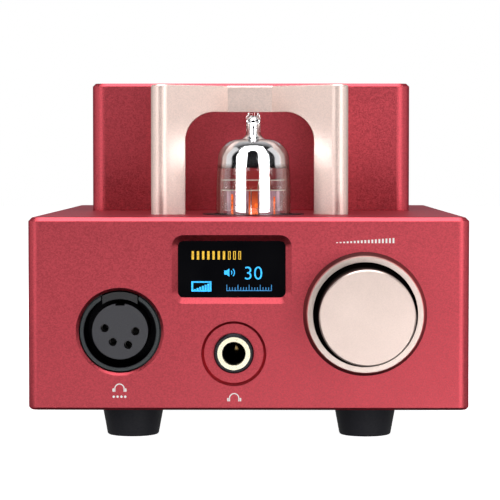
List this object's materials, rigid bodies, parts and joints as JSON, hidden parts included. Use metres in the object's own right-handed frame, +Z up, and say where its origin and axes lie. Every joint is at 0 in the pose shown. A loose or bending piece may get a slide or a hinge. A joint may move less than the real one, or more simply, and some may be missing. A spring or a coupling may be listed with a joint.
{
  "type": "headphone amplifier",
  "caption": "Desktop tube headphone amplifier: narrow deep case, display, volume knob, balanced and jack sockets, vented transformer cover and a guard round the tube.",
  "frame": {"origin": "centre of the bounding box at the soles of the feet", "axes": "+Z up, +Y from the front panel to the rear panel, +X to the right of someone facing the front panel"},
  "size_m": [0.1208, 0.198, 0.1008],
  "materials": {
    "red_anodised": "satin",
    "champagne_anodised": "satin",
    "bright_metal": "polished",
    "black_steel": "matte",
    "plain_steel": "satin",
    "gilt": "polished",
    "sink_aluminium": "matte",
    "rubber": "matte",
    "black_plastic": "matte",
    "gloss_black_plastic": "gloss",
    "grey_plastic": "satin",
    "display_glass": "gloss",
    "clear_glass": "clear",
    "green_board": "satin",
    "can_sleeve": "gloss",
    "taped_winding": "satin",
    "ceramic": "matte",
    "anode_metal": "satin",
    "mica": "satin",
    "white_print": "matte"
  },
  "bodies": {
    "case": {"balanced_contacts": "gilt", "balanced_insert": "grey_plastic", "balanced_shell": "bright_metal", "board_posts": "plain_steel", "board_screws": "plain_steel", "bottom_plate": "plain_steel", "case_screws": "plain_steel", "chassis_shell": "red_anodised", "display_board": "green_board", "display_panel": "black_plastic", "display_window": "display_glass", "encoder_body": "black_plastic", "encoder_nut": "black_steel", "feet": "rubber", "foot_screws": "black_steel", "heat_sinks": "sink_aluminium", "holder_contacts": "gilt", "inlet_pins": "gilt", "jack_body": "black_plastic", "jack_bush": "bright_metal", "jack_contacts": "gilt", "jack_nut": "bright_metal", "knob_bezel": "champagne_anodised", "main_board": "green_board", "optical_socket": "black_plastic", "output_transistors": "black_plastic", "phono_barrels": "gilt", "phono_liners": "grey_plastic", "power_inlet": "black_plastic", "power_switch_body": "black_plastic", "rear_panel": "black_steel", "relays": "grey_plastic", "reservoir_capacitors": "can_sleeve", "roof_rim": "bright_metal", "signal_chips": "black_plastic", "toroid_bolt": "black_steel", "toroid_dish": "black_steel", "toroid_pads": "rubber", "toroid_winding": "taped_winding", "transformer_cover": "red_anodised", "tube_board": "green_board", "tube_guard": "champagne_anodised", "tube_holder": "ceramic", "usb_socket": "bright_metal"},
    "encoder_plunger": {"encoder_plunger": "plain_steel"},
    "volume_knob": {"knob": "champagne_anodised", "encoder_shaft": "bright_metal", "knob_grub_screw": "black_steel"},
    "socket_latch": {"socket_latch": "bright_metal"},
    "tube": {"tube_glass": "clear_glass", "tube_button": "clear_glass", "tube_pins": "bright_metal", "tube_spacers": "mica", "tube_anodes": "anode_metal", "tube_cathodes": "anode_metal", "tube_grid_rods": "anode_metal", "tube_getter": "bright_metal"},
    "power_rocker": {"power_rocker": "gloss_black_plastic"},
    "fuse_drawer": {"fuse_drawer": "black_plastic"},
    "optical_shutter": {"optical_shutter": "black_plastic"}
  },
  "joints": [
    {"name": "knob_push", "type": "slide", "parent": "case", "child": "encoder_plunger", "axis": [0, 1, 0], "range_m": [0, 0.0005], "stiffness_N_per_m": 4000, "springref_m": -0.0002},
    {"name": "knob_turn", "type": "hinge", "parent": "encoder_plunger", "child": "volume_knob", "pos_m": [0.0318, -0.0825, 0.035], "axis": [0, 1, 0], "continuous": true},
    {"name": "latch_press", "type": "slide", "parent": "case", "child": "socket_latch", "axis": [0, 1, 0], "range_m": [0, 0.0015], "stiffness_N_per_m": 800, "springref_m": -0.0005},
    {"name": "tube_lift", "type": "slide", "parent": "case", "child": "tube", "axis": [0, 0, 1], "range_m": [0, 0.03]},
    {"name": "power_toggle", "type": "hinge", "parent": "case", "child": "power_rocker", "pos_m": [-0.009, 0.0898, 0.035], "axis": [1, 0, 0], "range_deg": [0, 16]},
    {"name": "fuse_drawer_slide", "type": "slide", "parent": "case", "child": "fuse_drawer", "axis": [0, 1, 0], "range_m": [0, 0.018]},
    {"name": "shutter_swing", "type": "hinge", "parent": "case", "child": "optical_shutter", "pos_m": [0.012, 0.08925, 0.02565], "axis": [-1, 0, 0], "range_deg": [0, 80], "stiffness_Nm_per_rad": 0.00005, "springref_deg": -28.65}
  ]
}
